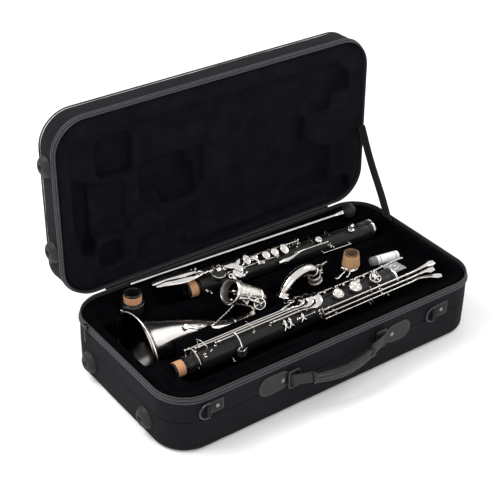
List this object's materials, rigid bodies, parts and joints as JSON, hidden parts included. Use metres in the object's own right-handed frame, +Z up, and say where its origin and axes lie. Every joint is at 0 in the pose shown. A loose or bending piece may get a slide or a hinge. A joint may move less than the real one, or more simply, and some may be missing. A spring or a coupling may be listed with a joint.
{
  "type": "bass clarinet in its case",
  "caption": "Bass clarinet taken apart in its fitted zip case with the lid open: two keyed joints, bell, neck, mouthpiece and end peg, each lifting out of its recess.",
  "frame": {"origin": "centre of the case's flat underside", "axes": "+X along the case's length towards the sockets of the two joints, +Y towards the lid's hinge, +Z up"},
  "size_m": [0.6776, 0.4406, 0.4483],
  "materials": {
    "fabric": "woven nylon",
    "plush": "plush",
    "zip": "woven tape",
    "leather": "satin",
    "dark_steel": "black nickel",
    "rubber": "matte",
    "resin": "matte",
    "nickel": "polished nickel silver",
    "cork": "cork",
    "white": "gloss",
    "clear": "clear film"
  },
  "bodies": {
    "case": {"base_shell": "fabric", "base_foam": "plush", "base_zip_band": "zip", "base_foot_back": "rubber", "base_foot_front": "rubber", "patch_left": "leather", "patch_right": "leather", "hinge_strip": "fabric", "stay_strap": "zip"},
    "lid": {"lid_shell": "fabric", "lid_foam": "plush", "lid_zip_band": "zip", "lid_foot_back": "rubber", "lid_foot_front": "rubber"},
    "handle": {"handle_grip": "leather", "handle_loop_left": "dark_steel", "handle_loop_right": "dark_steel"},
    "d_ring_left": {"d_ring_left": "dark_steel"},
    "d_ring_right": {"d_ring_right": "dark_steel"},
    "zip_slider_left": {"zip_slider_left": "dark_steel"},
    "zip_slider_right": {"zip_slider_right": "dark_steel"},
    "lower_joint": {"lower_body": "resin", "lower_tenon_cork": "cork", "lower_socket_ring": "nickel"},
    "upper_joint": {"upper_body": "resin", "upper_tenon_cork": "cork", "upper_socket_ring": "nickel"},
    "bell": {"bell_body": "nickel"},
    "neck": {"neck_bow": "nickel"},
    "receiver": {"neck_receiver": "nickel", "neck_cork": "cork"},
    "mouthpiece": {"mouthpiece": "resin", "mouthpiece_cork": "cork", "ligature_screws": "nickel"},
    "end_peg": {"peg_rod": "nickel", "peg_tip": "rubber"},
    "grease_tube": {"grease_tube": "white"},
    "accessory_bag": {"accessory_bag": "clear"},
    "pinky_key_1": {"pinky_key_1": "nickel"},
    "pinky_key_2": {"pinky_key_2": "nickel"},
    "pinky_key_3": {"pinky_key_3": "nickel"},
    "pinky_key_4": {"pinky_key_4": "nickel"},
    "stack_key_1": {"stack_key_1": "nickel"},
    "stack_key_2": {"stack_key_2": "nickel"},
    "stack_key_3": {"stack_key_3": "nickel"},
    "left_lever_1": {"left_lever_1": "nickel"},
    "left_lever_2": {"left_lever_2": "nickel"},
    "left_lever_3": {"left_lever_3": "nickel"},
    "left_pinky_keys": {"left_pinky_keys": "nickel"},
    "upper_key_1": {"upper_key_1": "nickel"},
    "ring_key": {"ring_key": "nickel"},
    "upper_key_2": {"upper_key_2": "nickel"},
    "spoon_key": {"spoon_key": "nickel"},
    "register_vent_key": {"register_vent_key": "nickel"},
    "bell_lever": {"bell_lever": "nickel"},
    "bell_vent_key": {"bell_vent_key": "nickel"},
    "neck_thumb_screw": {"neck_thumb_screw": "nickel"},
    "register_key": {"register_key": "nickel"},
    "grease_cap": {"grease_cap": "rubber"}
  },
  "joints": [
    {"name": "lid_hinge", "type": "hinge", "parent": "case", "child": "lid", "pos_m": [0, 0.168, 0.112], "axis": [-1, 0, 0], "range_deg": [-91.6, 0], "deforming": ["stay_strap", "hinge_strip"]},
    {"name": "handle_swing", "type": "hinge", "parent": "case", "child": "handle", "pos_m": [-0.003, -0.1742, 0.0865], "axis": [-1, 0, 0], "range_deg": [0, 100]},
    {"name": "d_ring_left_swing", "type": "hinge", "parent": "case", "child": "d_ring_left", "pos_m": [-0.267, -0.173, 0.081], "axis": [0, 0, 1], "range_deg": [0, 90]},
    {"name": "d_ring_right_swing", "type": "hinge", "parent": "case", "child": "d_ring_right", "pos_m": [0.215, -0.173, 0.072], "axis": [0, 0, 1], "range_deg": [0, 90]},
    {"name": "zip_slider_left_run", "type": "slide", "parent": "case", "child": "zip_slider_left", "axis": [0, -1, 0], "range_m": [0, 0.195]},
    {"name": "zip_slider_right_run", "type": "slide", "parent": "case", "child": "zip_slider_right", "axis": [0, -1, 0], "range_m": [0, 0.195]},
    {"name": "lower_joint_lift", "type": "slide", "parent": "case", "child": "lower_joint", "axis": [0, 0, 1], "range_m": [0, 0.12]},
    {"name": "upper_joint_lift", "type": "slide", "parent": "case", "child": "upper_joint", "axis": [0, 0, 1], "range_m": [0, 0.12]},
    {"name": "bell_lift", "type": "slide", "parent": "case", "child": "bell", "axis": [0, 0, 1], "range_m": [0, 0.16]},
    {"name": "neck_lift", "type": "slide", "parent": "case", "child": "neck", "axis": [0, 0, 1], "range_m": [0, 0.12]},
    {"name": "receiver_lift", "type": "slide", "parent": "case", "child": "receiver", "axis": [0, 0, 1], "range_m": [0, 0.12]},
    {"name": "mouthpiece_lift", "type": "slide", "parent": "case", "child": "mouthpiece", "axis": [0, 0, 1], "range_m": [0, 0.12]},
    {"name": "end_peg_lift", "type": "slide", "parent": "case", "child": "end_peg", "axis": [0, 0, 1], "range_m": [0, 0.1]},
    {"name": "grease_tube_lift", "type": "slide", "parent": "case", "child": "grease_tube", "axis": [0, 0, 1], "range_m": [0, 0.1]},
    {"name": "accessory_bag_lift", "type": "slide", "parent": "case", "child": "accessory_bag", "axis": [0, 0, 1], "range_m": [0, 0.1]},
    {"name": "pinky_key_1_pivot", "type": "hinge", "parent": "lower_joint", "child": "pinky_key_1", "pos_m": [-0.1295, -0.0547, 0.11047], "axis": [1, 0, 0], "range_deg": [0, 5], "stiffness_Nm_per_rad": 0.2, "springref_deg": -11.46},
    {"name": "pinky_key_2_pivot", "type": "hinge", "parent": "lower_joint", "child": "pinky_key_2", "pos_m": [-0.116, -0.06061, 0.11146], "axis": [1, 0, 0], "range_deg": [0, 5], "stiffness_Nm_per_rad": 0.2, "springref_deg": -11.46},
    {"name": "pinky_key_3_pivot", "type": "hinge", "parent": "lower_joint", "child": "pinky_key_3", "pos_m": [-0.093, -0.0666, 0.1111], "axis": [1, 0, 0], "range_deg": [0, 5], "stiffness_Nm_per_rad": 0.2, "springref_deg": -11.46},
    {"name": "pinky_key_4_pivot", "type": "hinge", "parent": "lower_joint", "child": "pinky_key_4", "pos_m": [-0.032, -0.07235, 0.10939], "axis": [1, 0, 0], "range_deg": [0, 5], "stiffness_Nm_per_rad": 0.2, "springref_deg": -11.46},
    {"name": "stack_key_1_pivot", "type": "hinge", "parent": "lower_joint", "child": "stack_key_1", "pos_m": [0.0705, -0.04974, 0.10906], "axis": [1, 0, 0], "range_deg": [0, 5], "stiffness_Nm_per_rad": 0.2, "springref_deg": -11.46},
    {"name": "stack_key_2_pivot", "type": "hinge", "parent": "lower_joint", "child": "stack_key_2", "pos_m": [0.115, -0.04974, 0.10906], "axis": [1, 0, 0], "range_deg": [0, 5], "stiffness_Nm_per_rad": 0.2, "springref_deg": -11.46},
    {"name": "stack_key_3_pivot", "type": "hinge", "parent": "lower_joint", "child": "stack_key_3", "pos_m": [0.16, -0.04974, 0.10906], "axis": [1, 0, 0], "range_deg": [0, 5], "stiffness_Nm_per_rad": 0.2, "springref_deg": -11.46},
    {"name": "left_lever_1_pivot", "type": "hinge", "parent": "lower_joint", "child": "left_lever_1", "pos_m": [0.13375, -0.08627, 0.10263], "axis": [1, 0, 0], "range_deg": [0, 8], "stiffness_Nm_per_rad": 0.2, "springref_deg": -11.46},
    {"name": "left_lever_2_pivot", "type": "hinge", "parent": "lower_joint", "child": "left_lever_2", "pos_m": [0.13375, -0.09019, 0.09526], "axis": [1, 0, 0], "range_deg": [0, 8], "stiffness_Nm_per_rad": 0.2, "springref_deg": -11.46},
    {"name": "left_lever_3_pivot", "type": "hinge", "parent": "lower_joint", "child": "left_lever_3", "pos_m": [0.13375, -0.09196, 0.08657], "axis": [1, 0, 0], "range_deg": [0, 8], "stiffness_Nm_per_rad": 0.2, "springref_deg": -11.46},
    {"name": "left_pinky_keys_pivot", "type": "hinge", "parent": "upper_joint", "child": "left_pinky_keys", "pos_m": [-0.08185, 0.11471, 0.11245], "axis": [0.998, -0.0637, 0], "range_deg": [0, 5], "stiffness_Nm_per_rad": 0.2, "springref_deg": -11.46},
    {"name": "upper_key_1_pivot", "type": "hinge", "parent": "upper_joint", "child": "upper_key_1", "pos_m": [-0.06801, 0.12189, 0.1092], "axis": [0.998, -0.0637, 0], "range_deg": [0, 5], "stiffness_Nm_per_rad": 0.2, "springref_deg": -11.46},
    {"name": "ring_key_pivot", "type": "hinge", "parent": "upper_joint", "child": "ring_key", "pos_m": [-0.02037, 0.11079, 0.11245], "axis": [0.998, -0.0637, 0], "range_deg": [0, 5], "stiffness_Nm_per_rad": 0.2, "springref_deg": -11.46},
    {"name": "upper_key_2_pivot", "type": "hinge", "parent": "upper_joint", "child": "upper_key_2", "pos_m": [0.0647, 0.10536, 0.11245], "axis": [0.998, -0.0637, 0], "range_deg": [0, 4], "stiffness_Nm_per_rad": 0.2, "springref_deg": -11.46},
    {"name": "spoon_key_pivot", "type": "hinge", "parent": "upper_joint", "child": "spoon_key", "pos_m": [0.13787, 0.07808, 0.10598], "axis": [0.998, -0.0637, 0], "range_deg": [0, 6], "stiffness_Nm_per_rad": 0.2, "springref_deg": -11.46},
    {"name": "register_vent_key_slide", "type": "slide", "parent": "upper_joint", "child": "register_vent_key", "axis": [-0.0197, -0.3084, 0.9511], "range_m": [0, 0.0015], "stiffness_N_per_m": 200, "springref_m": -0.002},
    {"name": "bell_lever_pivot", "type": "hinge", "parent": "bell", "child": "bell_lever", "pos_m": [-0.156, 0.006, 0.0875], "axis": [0, 0.8, 0.6], "range_deg": [0, 5], "stiffness_Nm_per_rad": 0.2, "springref_deg": -11.46},
    {"name": "bell_vent_key_pivot", "type": "hinge", "parent": "bell", "child": "bell_vent_key", "pos_m": [-0.072, -0.01, 0.122], "axis": [-0.5, 0, -0.866], "range_deg": [0, 5], "stiffness_Nm_per_rad": 0.2, "springref_deg": -11.46},
    {"name": "neck_thumb_screw_turn", "type": "hinge", "parent": "neck", "child": "neck_thumb_screw", "pos_m": [0.1105, 0.018, 0.099], "axis": [0, 0, 1], "range_deg": [0, 90]},
    {"name": "register_key_pivot", "type": "hinge", "parent": "receiver", "child": "register_key", "pos_m": [0.156, 0.0005, 0.0925], "axis": [-0.4512, 0.8924, 0], "range_deg": [0, 6], "stiffness_Nm_per_rad": 0.2, "springref_deg": -11.46},
    {"name": "grease_cap_pull", "type": "slide", "parent": "grease_tube", "child": "grease_cap", "axis": [-0.987, 0.1609, 0], "range_m": [0, 0.004]}
  ],
  "couplings": [
    {"joint": "pinky_key_1_pivot", "follows": "left_lever_1_pivot", "ratio": 0.6},
    {"joint": "pinky_key_2_pivot", "follows": "left_lever_2_pivot", "ratio": 0.6},
    {"joint": "pinky_key_3_pivot", "follows": "left_lever_3_pivot", "ratio": 0.6}
  ]
}
